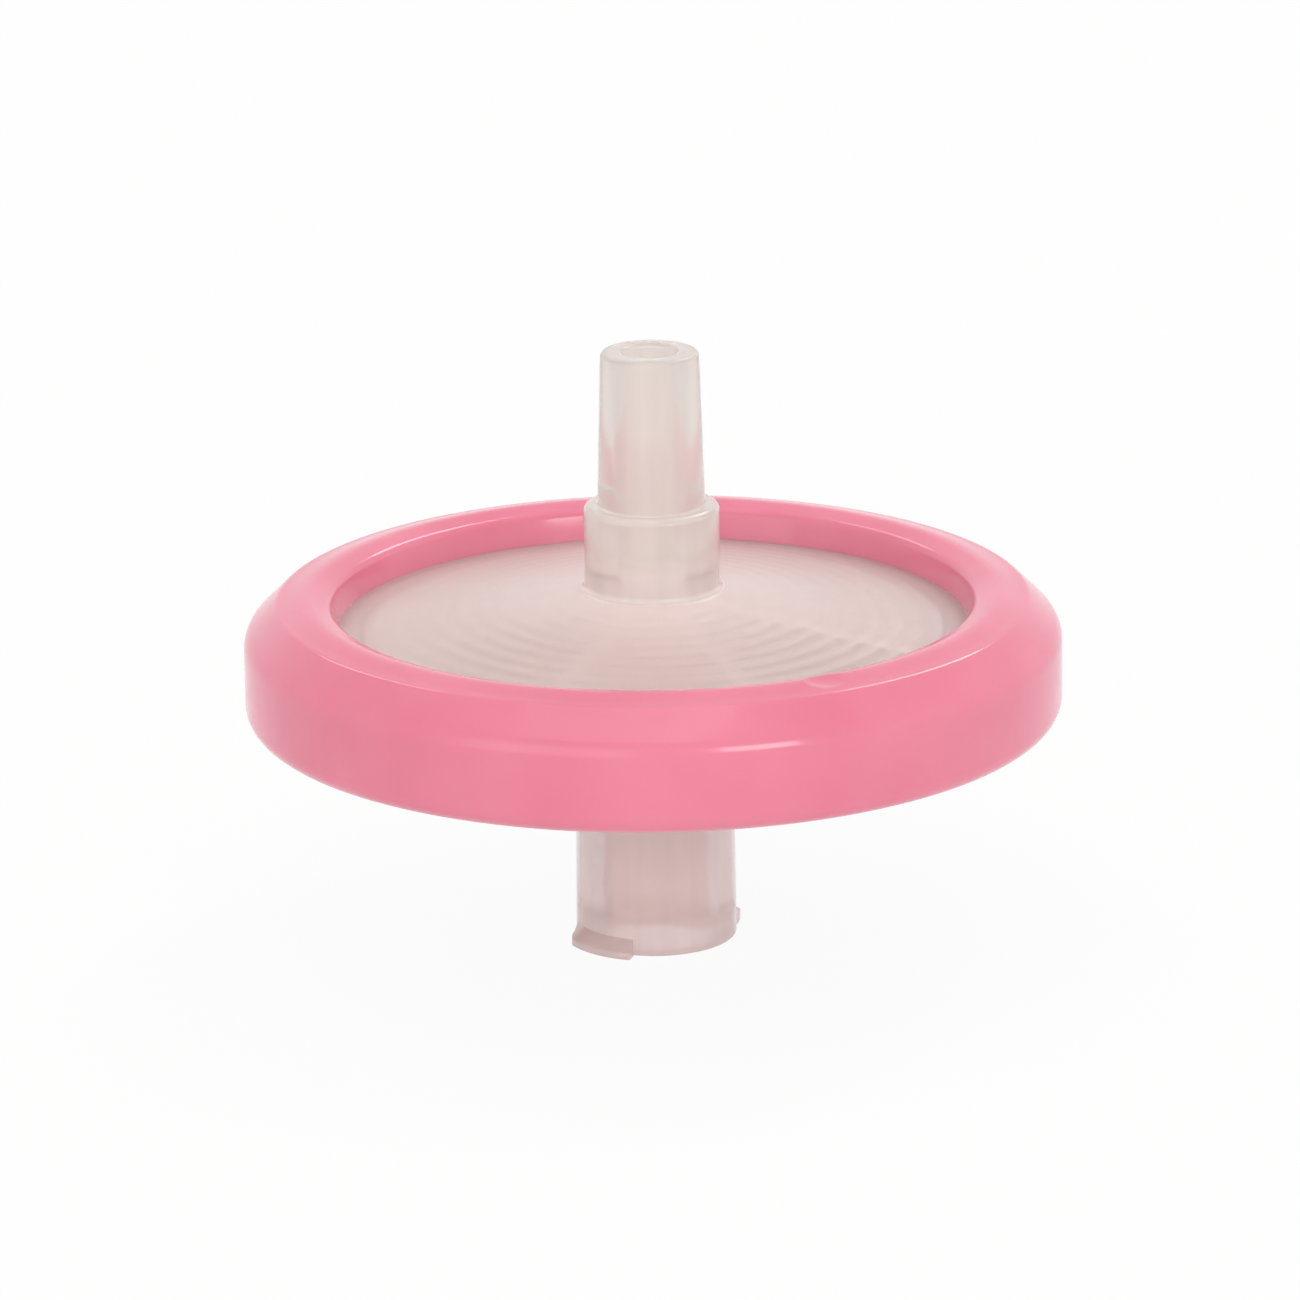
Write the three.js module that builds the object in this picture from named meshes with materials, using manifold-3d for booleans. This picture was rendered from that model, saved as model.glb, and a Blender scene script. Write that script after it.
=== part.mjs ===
// A 33 mm syringe filter: two clear polypropylene housing halves clamp a round membrane and a
// pink ring moulded round their rims seals them. Millimetres, +Z up. The origin is the centre of
// the end face of the female Luer lock, which is the inlet; the male Luer slip cone on top is
// the outlet.
import * as THREE from 'three';
import { mergeVertices } from 'three/addons/utils/BufferGeometryUtils.js';
import Module from 'manifold-3d';

// ---------------------------------------------------------------- driving dimensions

const facets = 56; // flats round every turned piece
const ribFacets = 36; // flats round each support rib
const arcSteps = 4; // steps in each rounded corner
const fit = 0.03; // clearance between pieces that are moulded or clamped together

// Luer fittings: both tapers are 6 % on the diameter
const luerTaper = 0.03; // change of radius for each millimetre along the axis

// inlet: female Luer lock
const lockRadius = 3.27;
const lockDraft = 0.008; // narrowing of the radius for each millimetre upward
const lockRim = 0.12; // rounding of the end face
const socketMouthRadius = 2.14;
const socketDepth = 8;
const socketChamfer = 0.15;
const inletPassageRadius = 1;
const lugRadius = 3.9;
const lugRootHeight = 0.7; // where it leaves the lock's wall
const lugCrestHeight = 0.3; // at its outer edge
const lugRounding = 0.1;
const lugStart = 188; // degrees from +X, the square end of the first lug is at start + sweep
const lugSweep = 65;
const lugRamp = 20; // degrees over which it rises to its full radius
const lugSteps = 13; // chords along its sweep
const lugCount = 2;

// overmoulded ring: its radius gives every radius from the groove in to the membrane
const ringRadius = 16.5;
const ringWidth = 3.55; // from the outer wall to the lip of the recess
const ringWall = 2.17; // from the outer wall to the groove that grips the clear rims
const ringLip = 1.43; // how far the ring stands proud of each clear rim
const ringFootRounding = 0.85;
const ringWallHeight = 3.56; // from the underside to where the shoulder begins
const ringShoulderRounding = 0.35;
const ringShoulderWidth = 1.35; // from the outer wall to the edge of the crest
const ringCrestDrop = 0.25; // how far that edge is below the top of the crowned crest
const ringCrestBias = 0.4; // from the lip's rounding to the radius that the crown leans toward
const ringLipRounding = 0.3;
const recessDraft = 0.25; // how much wider the recess is at its lip than at the clear cone

// the plane where the halves meet, and the clear rims round it
const splitHeight = 12;
const flangeCorner = 0.2;
const inletRimThickness = 1.2;
const outletRimThickness = 1.07;

// membrane, clamped by a flat land of the outlet half
const membraneThickness = 0.2;
const membraneSetback = 0.1; // how far its edge is inside the foot of the recess
const sealingLandWidth = 0.9;

// both halves are shallow cones between the ring and their Luer fittings
const inletConeDrop = 1.5;
const outletConeRise = 1.58;
const rootFillet = 0.3;

// plenums on both sides of the membrane
const plenumEdgeDepth = 0.45;
const inletPlenumSlope = 0.12;
const outletPlenumSlope = 0.1;
const ribReach = 0.25; // how far each rib is rooted in its housing

// outlet: concentric ribs hold the membrane and radial channels drain between them
const ribPitch = 0.9;
const ribWidth = 0.36;
const firstRibRadius = 2.9;
const drainCount = 8;
const drainWidth = 0.8;

// inlet: radial spacer ribs
const spacerCount = 8;
const spacerWidth = 0.5;
const spacerInnerRadius = 2.6;

// outlet: collar and male Luer slip cone
const collarRadius = 2.73;
const collarHeight = 3.5;
const collarRounding = 0.3;
const slipTipRadius = 1.985;
const slipLength = 6.3;
const slipRounding = 0.2;
const outletMouthRadius = 1.08;
const outletBoreDraft = 0.02; // narrowing of the radius for each millimetre downward
const outletMouthChamfer = 0.16;

// ---------------------------------------------------------------- levels and radii that follow

const ringLipRadius = ringRadius - ringWidth;
const ringCrestRadius = ringRadius - ringShoulderWidth;
const grooveRadius = ringRadius - ringWall;
const flangeRadius = grooveRadius - fit;
const windowRadius = ringLipRadius - recessDraft; // where the cones come out from under the ring
const membraneRadius = windowRadius - membraneSetback;
const sealingLandRadius = membraneRadius - sealingLandWidth;
const ribCount = Math.floor((sealingLandRadius - ribWidth - firstRibRadius) / ribPitch) + 1;

const outletRimTop = splitHeight + outletRimThickness;
const inletRimBottom = splitHeight - inletRimThickness;
const outletFace = splitHeight + fit / 2;
const inletFace = splitHeight - fit / 2;
const membraneTop = outletFace - fit;
const membraneBottom = membraneTop - membraneThickness;
const pocketFloor = membraneBottom - fit;

const lockRootRadius = lockRadius - lockDraft * (inletRimBottom - inletConeDrop);
const inletConeRoot = inletRimBottom - inletConeDrop;
const outletConeRoot = outletRimTop + outletConeRise;
const shoulderHeight = outletConeRoot + collarHeight;
const tipHeight = shoulderHeight + slipLength;
const slipRootRadius = slipTipRadius + luerTaper * slipLength;

const ringBottom = inletRimBottom - ringLip;
const ringTop = outletRimTop + ringLip;

function inletPlenumFloor(radius) {
  return pocketFloor - plenumEdgeDepth - inletPlenumSlope * (sealingLandRadius - radius);
}

function outletPlenumRoof(radius) {
  return outletFace + plenumEdgeDepth + outletPlenumSlope * (sealingLandRadius - radius);
}

function socketRadius(height) {
  return socketMouthRadius - luerTaper * height;
}

function outletBoreRadius(height) {
  return outletMouthRadius - outletBoreDraft * (tipHeight - height);
}

// ---------------------------------------------------------------- materials

const clearPlastic = (name) => new THREE.MeshStandardMaterial({
  name,
  color: 0xe6dcd4,
  roughness: 0.12,
  metalness: 0,
  transparent: true,
  opacity: 0.45,
});

const membraneMaterial = new THREE.MeshStandardMaterial({
  name: 'membrane_white',
  color: 0xf1ece6,
  roughness: 0.85,
  metalness: 0,
});

const ringMaterial = new THREE.MeshStandardMaterial({
  name: 'ring_pink',
  color: 0xf0829b,
  roughness: 0.28,
  metalness: 0,
});

// ---------------------------------------------------------------- solids

const wasm = await Module();
wasm.setup();

function toManifold(geometry) {
  const bare = geometry.clone();
  bare.deleteAttribute('normal');
  bare.deleteAttribute('uv');
  const merged = mergeVertices(bare, 1e-4);
  return new wasm.Manifold(new wasm.Mesh({
    numProp: 3,
    vertProperties: new Float32Array(merged.attributes.position.array),
    triVerts: new Uint32Array(merged.index.array),
  }));
}

function toGeometry(manifold) {
  const mesh = manifold.getMesh();
  const geometry = new THREE.BufferGeometry();
  geometry.setAttribute('position', new THREE.BufferAttribute(mesh.vertProperties, mesh.numProp));
  geometry.setIndex(new THREE.BufferAttribute(mesh.triVerts, 1));
  geometry.computeVertexNormals();
  return geometry;
}

// An outline holds radius and height, runs clockwise and ends where it begins.
function turned(outline, flats = facets) {
  const geometry = new THREE.LatheGeometry(outline.getPoints(arcSteps).reverse(), flats);
  return toManifold(geometry.rotateX(Math.PI / 2));
}

// A rib of rectangular section that runs once round the axis.
function ribBand(innerRadius, outerRadius, bottom, top) {
  const outline = new THREE.Path();
  outline.moveTo(innerRadius, bottom);
  outline.lineTo(innerRadius, top);
  outline.lineTo(outerRadius, top);
  outline.lineTo(outerRadius, bottom);
  outline.lineTo(innerRadius, bottom);
  return turned(outline, ribFacets);
}

function radians(degrees) {
  return degrees * Math.PI / 180;
}

// ---------------------------------------------------------------- overmoulded ring

function ringOutline() {
  const innerLip = ringLipRadius + ringLipRounding;
  const wallTop = ringBottom + ringWallHeight;
  const crestEdge = ringTop - ringCrestDrop;
  const slope = (crestEdge - wallTop) / (ringRadius - ringCrestRadius);
  const shoulder = ringShoulderRounding;
  const crown = innerLip + ringCrestBias;
  const outline = new THREE.Path();
  // recess over the outlet cone, its lip, the crowned crest and the sloped shoulder
  outline.moveTo(windowRadius, outletRimTop + fit);
  outline.lineTo(ringLipRadius, crestEdge - ringLipRounding);
  outline.quadraticCurveTo(ringLipRadius + ringLipRounding / 4, crestEdge, innerLip, crestEdge);
  outline.quadraticCurveTo(crown, ringTop + ringCrestDrop, ringCrestRadius, crestEdge);
  outline.lineTo(ringRadius - shoulder, wallTop + slope * shoulder);
  outline.quadraticCurveTo(ringRadius, wallTop, ringRadius, wallTop - shoulder);
  // outer wall, rounded foot and the underside
  outline.lineTo(ringRadius, ringBottom + ringFootRounding);
  outline.quadraticCurveTo(ringRadius, ringBottom, ringRadius - ringFootRounding, ringBottom);
  outline.lineTo(innerLip, ringBottom);
  outline.quadraticCurveTo(ringLipRadius, ringBottom, ringLipRadius, ringBottom + ringLipRounding);
  outline.lineTo(windowRadius, inletRimBottom - fit);
  // groove that grips both clear rims
  outline.lineTo(grooveRadius, inletRimBottom - fit);
  outline.lineTo(grooveRadius, outletRimTop + fit);
  outline.lineTo(windowRadius, outletRimTop + fit);
  return outline;
}

// ---------------------------------------------------------------- inlet half

function inletOutline() {
  const socketEnd = socketRadius(socketDepth);
  const passageTop = inletPlenumFloor(inletPassageRadius);
  const rootSlope = inletConeDrop / (windowRadius - lockRootRadius);
  const outline = new THREE.Path();
  // socket, passage, plenum and the pocket of the membrane
  outline.moveTo(socketMouthRadius + socketChamfer, 0);
  outline.lineTo(socketRadius(socketChamfer), socketChamfer);
  outline.lineTo(socketEnd, socketDepth);
  outline.lineTo(inletPassageRadius, socketDepth);
  outline.lineTo(inletPassageRadius, passageTop);
  outline.lineTo(sealingLandRadius, inletPlenumFloor(sealingLandRadius));
  outline.lineTo(sealingLandRadius, pocketFloor);
  outline.lineTo(membraneRadius + fit, pocketFloor);
  outline.lineTo(membraneRadius + fit, inletFace);
  // rim, shallow cone and the outside of the lock
  outline.lineTo(flangeRadius, inletFace);
  outline.lineTo(flangeRadius, inletRimBottom + flangeCorner);
  outline.lineTo(flangeRadius - flangeCorner, inletRimBottom);
  outline.lineTo(windowRadius, inletRimBottom);
  outline.lineTo(lockRootRadius + rootFillet, inletConeRoot + rootSlope * rootFillet);
  outline.quadraticCurveTo(lockRootRadius, inletConeRoot, lockRootRadius, inletConeRoot - rootFillet);
  outline.lineTo(lockRadius, lockRim);
  outline.quadraticCurveTo(lockRadius, 0, lockRadius - lockRim, 0);
  outline.lineTo(socketMouthRadius + socketChamfer, 0);
  return outline;
}

// One of the lugs that a male lock's thread catches: a band that starts as a ramp and ends square.
function lug(start) {
  const root = (socketMouthRadius + lockRadius) / 2 + socketChamfer;
  const band = new THREE.Path();
  band.moveTo(root, 0);
  band.lineTo(root, lugRootHeight);
  band.lineTo(lockRadius, lugRootHeight);
  band.lineTo(lugRadius - lugRounding, lugCrestHeight);
  band.quadraticCurveTo(lugRadius, lugCrestHeight, lugRadius, lugCrestHeight - lugRounding);
  band.lineTo(lugRadius, lugRounding);
  band.quadraticCurveTo(lugRadius, 0, lugRadius - lugRounding, 0);
  band.lineTo(root, 0);
  const plan = new THREE.Shape();
  plan.moveTo(0, 0);
  for (let i = 0; i <= lugSteps; i += 1) {
    const angle = lugSweep * i / lugSteps;
    const risen = Math.min(angle / lugRamp, 1);
    const reach = lockRadius + risen * (lugRadius + fit - lockRadius);
    plan.lineTo(reach * Math.cos(radians(start + angle)), reach * Math.sin(radians(start + angle)));
  }
  const sector = new THREE.ExtrudeGeometry(plan, { depth: 3 * lugRootHeight, bevelEnabled: false });
  return turned(band).intersect(toManifold(sector.translate(0, 0, -lugRootHeight)));
}

// A radial rib that keeps the membrane off the floor of the inlet plenum.
function spacerRib(angle) {
  const outer = sealingLandRadius + ribReach;
  const side = new THREE.Shape();
  side.moveTo(spacerInnerRadius, inletPlenumFloor(spacerInnerRadius) - ribReach);
  side.lineTo(outer, inletPlenumFloor(outer) - ribReach);
  side.lineTo(outer, pocketFloor);
  side.lineTo(spacerInnerRadius, pocketFloor);
  const rib = new THREE.ExtrudeGeometry(side, { depth: spacerWidth, bevelEnabled: false });
  rib.translate(0, 0, -spacerWidth / 2).rotateX(Math.PI / 2).rotateZ(angle);
  return toManifold(rib);
}

function inletHousing() {
  let housing = turned(inletOutline());
  for (let i = 0; i < lugCount; i += 1) {
    housing = housing.add(lug(lugStart + 360 * i / lugCount));
  }
  for (let i = 0; i < spacerCount; i += 1) {
    housing = housing.add(spacerRib(2 * Math.PI * i / spacerCount));
  }
  return housing;
}

// ---------------------------------------------------------------- outlet half

function outletOutline() {
  const boreFoot = outletPlenumRoof(outletMouthRadius);
  const mouthBottom = tipHeight - outletMouthChamfer;
  const rootRadius = collarRadius + rootFillet;
  const rootSlope = outletConeRise / (windowRadius - collarRadius);
  const outline = new THREE.Path();
  // bore and the rim of the slip cone
  outline.moveTo(outletBoreRadius(boreFoot), boreFoot);
  outline.lineTo(outletBoreRadius(mouthBottom), mouthBottom);
  outline.lineTo(outletMouthRadius + outletMouthChamfer, tipHeight);
  outline.lineTo(slipTipRadius - slipRounding, tipHeight);
  const slipEdge = slipTipRadius + luerTaper * slipRounding;
  outline.quadraticCurveTo(slipTipRadius, tipHeight, slipEdge, tipHeight - slipRounding);
  // slip cone, collar and the shallow cone of the housing
  outline.lineTo(slipRootRadius, shoulderHeight);
  outline.lineTo(collarRadius - collarRounding, shoulderHeight);
  outline.quadraticCurveTo(collarRadius, shoulderHeight, collarRadius, shoulderHeight - collarRounding);
  outline.lineTo(collarRadius, outletConeRoot + rootFillet);
  outline.quadraticCurveTo(collarRadius, outletConeRoot, rootRadius, outletConeRoot - rootSlope * rootFillet);
  outline.lineTo(windowRadius, outletRimTop);
  outline.lineTo(flangeRadius - flangeCorner, outletRimTop);
  outline.lineTo(flangeRadius, outletRimTop - flangeCorner);
  outline.lineTo(flangeRadius, outletFace);
  // sealing land and the roof of the plenum
  outline.lineTo(sealingLandRadius, outletFace);
  outline.lineTo(sealingLandRadius, outletPlenumRoof(sealingLandRadius));
  outline.lineTo(outletBoreRadius(boreFoot), boreFoot);
  return outline;
}

// Concentric ribs with flat feet in the plane of the membrane, opened by radial drain channels.
function supportRibs() {
  const ribs = [];
  for (let i = 0; i < ribCount; i += 1) {
    const inner = firstRibRadius + ribPitch * i - ribWidth / 2;
    const outer = inner + ribWidth;
    ribs.push(ribBand(inner, outer, outletFace, outletPlenumRoof(outer) + ribReach));
  }
  let ribbed = ribs.reduce((joined, rib) => joined.add(rib));
  const channelLength = 2 * flangeRadius;
  const channelHeight = 2 * (outletConeRoot - outletFace);
  for (let i = 0; i < drainCount / 2; i += 1) {
    const channel = new THREE.BoxGeometry(channelLength, drainWidth, channelHeight);
    channel.translate(0, 0, outletFace).rotateZ(Math.PI * (2 * i + 1) / drainCount);
    ribbed = ribbed.subtract(toManifold(channel));
  }
  return ribbed;
}

// ---------------------------------------------------------------- the part

const part = new THREE.Group();

function addPiece(name, geometry, material) {
  const mesh = new THREE.Mesh(geometry, material);
  mesh.name = name;
  part.add(mesh);
}

addPiece('inlet_housing', toGeometry(inletHousing()), clearPlastic('inlet_clear'));

const membrane = new THREE.CylinderGeometry(membraneRadius, membraneRadius, membraneThickness, facets);
membrane.rotateX(Math.PI / 2).translate(0, 0, membraneBottom + membraneThickness / 2);
addPiece('membrane', membrane, membraneMaterial);

const outletSolid = turned(outletOutline()).add(supportRibs());
addPiece('outlet_housing', toGeometry(outletSolid), clearPlastic('outlet_clear'));
addPiece('overmould_ring', toGeometry(turned(ringOutline())), ringMaterial);

export default part;
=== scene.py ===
# %% [markdown]
# # A syringe filter in clear plastic and pink
#
# A syringe filter cleans a few millilitres of liquid as a syringe pushes it through. Two clear
# polypropylene halves hold a round membrane between them, and a pink ring moulded round their
# rims seals the edge. This lesson starts from the solid model, which fixes every size, and makes
# what the eye adds: true curves, soft corners and the finish of each plastic.
#
# The first cell loads the solid model. Everything is in metres, +Z is up, and the filter stands
# on the end of its lower fitting at the origin.

# %% Load the solid model
import math

import bmesh
import bpy
from mathutils import Matrix, Vector


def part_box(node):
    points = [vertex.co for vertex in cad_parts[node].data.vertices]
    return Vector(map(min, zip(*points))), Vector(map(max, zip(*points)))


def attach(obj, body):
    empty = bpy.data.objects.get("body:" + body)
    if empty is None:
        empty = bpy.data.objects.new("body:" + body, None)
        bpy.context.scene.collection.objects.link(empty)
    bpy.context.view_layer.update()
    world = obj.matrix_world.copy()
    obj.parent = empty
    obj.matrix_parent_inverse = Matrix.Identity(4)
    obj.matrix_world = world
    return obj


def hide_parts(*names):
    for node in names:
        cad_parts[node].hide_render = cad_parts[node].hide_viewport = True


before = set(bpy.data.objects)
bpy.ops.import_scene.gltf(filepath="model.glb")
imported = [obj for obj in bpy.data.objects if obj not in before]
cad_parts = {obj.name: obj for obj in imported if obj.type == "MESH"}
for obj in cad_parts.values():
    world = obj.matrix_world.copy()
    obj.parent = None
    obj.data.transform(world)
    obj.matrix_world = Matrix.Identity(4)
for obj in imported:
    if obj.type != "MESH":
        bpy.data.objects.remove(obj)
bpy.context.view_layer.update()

MM = 0.001

# %% [markdown]
# ## Sizes that every piece shares
#
# The box of each solid gives the outer sizes, so nothing here can drift from the model. What the
# boxes don't tell, such as a wall, a bore or a taper, is written once below in millimetres.

# %% Levels and radii
ring_low, ring_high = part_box("overmould_ring")
outlet_low, outlet_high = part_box("outlet_housing")
_, inlet_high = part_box("inlet_housing")
membrane_low, membrane_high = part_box("membrane")

RING_RADIUS = ring_high.x / MM
RING_BOTTOM = ring_low.z / MM
RING_TOP = ring_high.z / MM
FLANGE_RADIUS = outlet_high.x / MM
OUTLET_FACE = outlet_low.z / MM
INLET_FACE = inlet_high.z / MM
TIP_HEIGHT = outlet_high.z / MM
MEMBRANE_RADIUS = membrane_high.x / MM
MEMBRANE_TOP = membrane_high.z / MM
MEMBRANE_BOTTOM = membrane_low.z / MM

RING_LIP = 1.43         # the ring stands this far proud of each clear rim
RING_LIP_RADIUS = 12.95
WINDOW_RADIUS = 12.7    # where the clear cones come out from under the ring
LAND_RADIUS = 11.7      # the flat land that clamps the membrane starts here
OUTLET_RIM = RING_TOP - RING_LIP
INLET_RIM = RING_BOTTOM + RING_LIP
CLEARANCE = 0.03

TURNS = 256             # flats round a turned piece, enough for a true curve
print("ring", RING_RADIUS, "flange", round(FLANGE_RADIUS, 3), "tip", round(TIP_HEIGHT, 3))

# %% [markdown]
# ## Camera
#
# A long lens from some way off keeps the round forms calm. The camera stands in front, about
# seventeen degrees above the horizon, and leans by less than a degree, as a hand-set tripod does.

# %% Camera
VIEW_DISTANCE = 0.320
VIEW_ELEVATION = math.radians(16.87)
VIEW_LEAN = math.radians(0.72)
AIM_UP = math.radians(0.09985)  # the lens points this far over the middle of the filter
AIM_LEFT = math.radians(0.0246)
SENSOR_WIDTH = 36       # millimetres, as is the lens
LENS_LENGTH = 219.3
CLIP_NEAR, CLIP_FAR = 0.01, 20
FILTER_MIDDLE = Vector((0, 0, 11.39 * MM))


def add_camera():
    """A camera in front of the filter, turned a hair so that the filter sits just below centre."""
    data = bpy.data.cameras.new("camera")
    data.sensor_width = SENSOR_WIDTH
    data.lens = LENS_LENGTH
    data.clip_start, data.clip_end = CLIP_NEAR, CLIP_FAR
    camera = bpy.data.objects.new("camera", data)
    bpy.context.scene.collection.objects.link(camera)
    back = Vector((0, -math.cos(VIEW_ELEVATION), math.sin(VIEW_ELEVATION)))
    right = Vector((1, 0, 0))
    up = back.cross(right)
    lean = Matrix.Rotation(-VIEW_LEAN, 3, back)
    right, up = lean @ right, lean @ up
    place = Matrix((right, up, back)).transposed().to_4x4()
    place.translation = FILTER_MIDDLE + back * VIEW_DISTANCE
    aim = Matrix.Rotation(AIM_UP, 4, "X") @ Matrix.Rotation(AIM_LEFT, 4, "Y")
    camera.matrix_world = place @ aim
    bpy.context.scene.camera = camera
    return camera


camera = add_camera()
print("camera at, mm:", [round(c / MM, 1) for c in camera.matrix_world.translation])

# %% [markdown]
# ## Floor and light
#
# The filter stands on a plain white sweep in a plain studio. The floor looks white to the camera,
# to reflections and to what is seen through the clear plastic, and still takes a soft shadow. From
# underneath it isn't there, so the filter's lower face can be looked at as well. A softbox at the
# front right puts short bright lines on the shoulder and the collar, one at each side of the
# rear draws the lip and the crest, and a pale grey room fills in the rest.

# %% Floor
FLOOR_WHITE = (0.86, 0.86, 0.857, 1)
FLOOR_SHOWN = 0.93      # share of the floor that shows as plain white
FLOOR_SIZE = 4
FLOOR_GAP = 0.03 * MM   # keeps the floor just clear of the filter's end face


def math_node(nodes, links, operation, first, second):
    """Joins two values by that operation. The second one may be a plain number."""
    node = nodes.new("ShaderNodeMath")
    node.operation = operation
    links.new(first, node.inputs[0])
    if isinstance(second, (int, float)):
        node.inputs[1].default_value = second
    else:
        links.new(second, node.inputs[1])
    return node.outputs[0]


def mix_shaders(nodes, links, share, first, second):
    """Shows the first shader where the share is 0 and the second where it is 1."""
    mix = nodes.new("ShaderNodeMixShader")
    for socket, value in zip(mix.inputs, (share, first, second)):
        links.new(value, socket)
    return mix.outputs[0]


def floor_material():
    """White to whatever looks at it, a plain diffuse floor to light, and nothing from below."""
    material = bpy.data.materials.new("white_sweep")
    material.use_nodes = True
    nodes, links = material.node_tree.nodes, material.node_tree.links
    nodes.clear()
    output = nodes.new("ShaderNodeOutputMaterial")
    diffuse = nodes.new("ShaderNodeBsdfDiffuse")
    diffuse.inputs["Color"].default_value = FLOOR_WHITE
    glow = nodes.new("ShaderNodeEmission")
    glow.inputs["Color"].default_value = (1, 1, 1, 1)
    path = nodes.new("ShaderNodeLightPath").outputs
    seen = math_node(nodes, links, "MAXIMUM", path["Is Camera Ray"], path["Is Glossy Ray"])
    seen = math_node(nodes, links, "MAXIMUM", seen, path["Is Transmission Ray"])
    share = math_node(nodes, links, "MULTIPLY", seen, FLOOR_SHOWN)
    top = mix_shaders(nodes, links, share, diffuse.outputs[0], glow.outputs[0])
    underneath = nodes.new("ShaderNodeNewGeometry").outputs["Backfacing"]
    nothing = nodes.new("ShaderNodeBsdfTransparent").outputs[0]
    links.new(mix_shaders(nodes, links, underneath, top, nothing), output.inputs["Surface"])
    return material


bpy.ops.object.select_all(action="DESELECT")
bpy.ops.mesh.primitive_plane_add(size=FLOOR_SIZE, location=(0, 0, -FLOOR_GAP))
floor = bpy.context.object
floor.name = "floor"
floor.data.materials.append(floor_material())
print("floor", floor.dimensions.x, "m across")

# %% Room and softboxes
ROOM_GREY = (0.67, 0.655, 0.64, 1)
SWEEP_WHITE = (0.985, 0.985, 0.985, 1)
SWEEP_TOP = 0.30        # sine of the height where the white sweep starts to fade
CEILING = 0.70          # sine of the height where only the grey room is left


def light_room():
    """A pale grey room. The camera, reflections and clear plastic see the white sweep in it."""
    world = bpy.data.worlds.new("studio")
    world.use_nodes = True
    bpy.context.scene.world = world
    nodes, links = world.node_tree.nodes, world.node_tree.links
    nodes.clear()
    output = nodes.new("ShaderNodeOutputWorld")
    room = nodes.new("ShaderNodeBackground")
    room.inputs["Color"].default_value = ROOM_GREY
    white = nodes.new("ShaderNodeBackground")
    white.inputs["Color"].default_value = SWEEP_WHITE
    direction = nodes.new("ShaderNodeTexCoord")
    parts = nodes.new("ShaderNodeSeparateXYZ")
    fade = nodes.new("ShaderNodeMapRange")
    fade.inputs["From Min"].default_value = SWEEP_TOP
    fade.inputs["From Max"].default_value = CEILING
    fade.inputs["To Min"].default_value = 1
    fade.inputs["To Max"].default_value = 0
    links.new(direction.outputs["Generated"], parts.inputs[0])
    links.new(parts.outputs["Z"], fade.inputs["Value"])
    path = nodes.new("ShaderNodeLightPath").outputs
    mirrored = path["Is Glossy Ray"]
    mirrored = math_node(nodes, links, "MAXIMUM", mirrored, path["Is Transmission Ray"])
    sweep = math_node(nodes, links, "MULTIPLY", fade.outputs["Result"], mirrored)
    shown = math_node(nodes, links, "MAXIMUM", sweep, path["Is Camera Ray"])
    seen = mix_shaders(nodes, links, shown, room.outputs[0], white.outputs[0])
    links.new(seen, output.inputs["Surface"])


def softbox(name, azimuth, elevation, distance, width, height, brightness):
    """A rectangular lamp that faces the filter. Azimuth 0 is in front, 90 on the right."""
    a, e = math.radians(azimuth), math.radians(elevation)
    towards = Vector((math.sin(a) * math.cos(e), -math.cos(a) * math.cos(e), math.sin(e)))
    data = bpy.data.lights.new(name, "AREA")
    data.shape = "RECTANGLE"
    data.size, data.size_y = width, height
    data.energy = brightness * math.pi * width * height
    lamp = bpy.data.objects.new(name, data)
    bpy.context.scene.collection.objects.link(lamp)
    lamp.location = FILTER_MIDDLE + towards * distance
    lamp.rotation_mode = "QUATERNION"
    lamp.rotation_quaternion = towards.to_track_quat("Z", "Y")
    lamp.visible_transmission = False
    return lamp


light_room()
softbox("softbox_front", 29, 20, 0.45, 0.165, 0.12, 6.0)
softbox("softbox_rear", 145, 46, 0.50, 0.10, 0.22, 7.0)
softbox("softbox_rear_left", -140, 44, 0.50, 0.10, 0.20, 3.0)
softbox("softbox_top", -20, 78, 0.60, 0.40, 0.40, 0.9)
softbox("fill_left", -30, 14, 0.60, 0.50, 0.40, 0.9)

# %% [markdown]
# ## How a turned piece is made
#
# Every part of the filter is turned round one axis, as its mould was turned on a lathe. So each
# piece starts as a tiny plane that is merged to one point. The point is extruded along half of the
# section, sharp corners are rounded with a bevel, and the closed outline is spun round the axis.
# Lines of the outline that touch are merged first, so that the wall is one closed skin.

# %% Tools for turned pieces
MERGE_GAP = 0.0005 * MM     # points closer than this are one point
CORNER_STEPS = 6            # flats round each rounded corner
SHARP_ANGLE = 32            # degrees, past which an edge stays sharp


def leave_all():
    """Object mode, with nothing selected."""
    if bpy.context.object and bpy.context.object.mode != "OBJECT":
        bpy.ops.object.mode_set(mode="OBJECT")
    bpy.ops.object.select_all(action="DESELECT")


def begin_outline(name, radius, height):
    """A new piece of one point in the XZ plane, in edit mode."""
    leave_all()
    bpy.ops.mesh.primitive_plane_add(size=MM, location=(radius * MM, 0, height * MM))
    piece = bpy.context.object
    piece.name = name
    piece.data.name = name
    bpy.ops.object.transform_apply(location=True, rotation=True, scale=True)
    bpy.ops.object.mode_set(mode="EDIT")
    bpy.ops.mesh.select_all(action="SELECT")
    bpy.ops.mesh.merge(type="CENTER")
    return piece


def draw_outline(name, corners):
    """A closed outline through corners of (radius, height, rounding), in edit mode."""
    piece = begin_outline(name, corners[0][0], corners[0][1])
    for here, there in zip(corners, corners[1:] + corners[:1]):
        step = ((there[0] - here[0]) * MM, 0, (there[1] - here[1]) * MM)
        bpy.ops.mesh.extrude_vertices_move(TRANSFORM_OT_translate={"value": step})
    bpy.ops.mesh.select_all(action="SELECT")
    bpy.ops.mesh.remove_doubles(threshold=MERGE_GAP)
    for radius, height, rounding in corners:
        if rounding:
            round_corner(piece, radius, height, rounding)
    return piece


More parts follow.
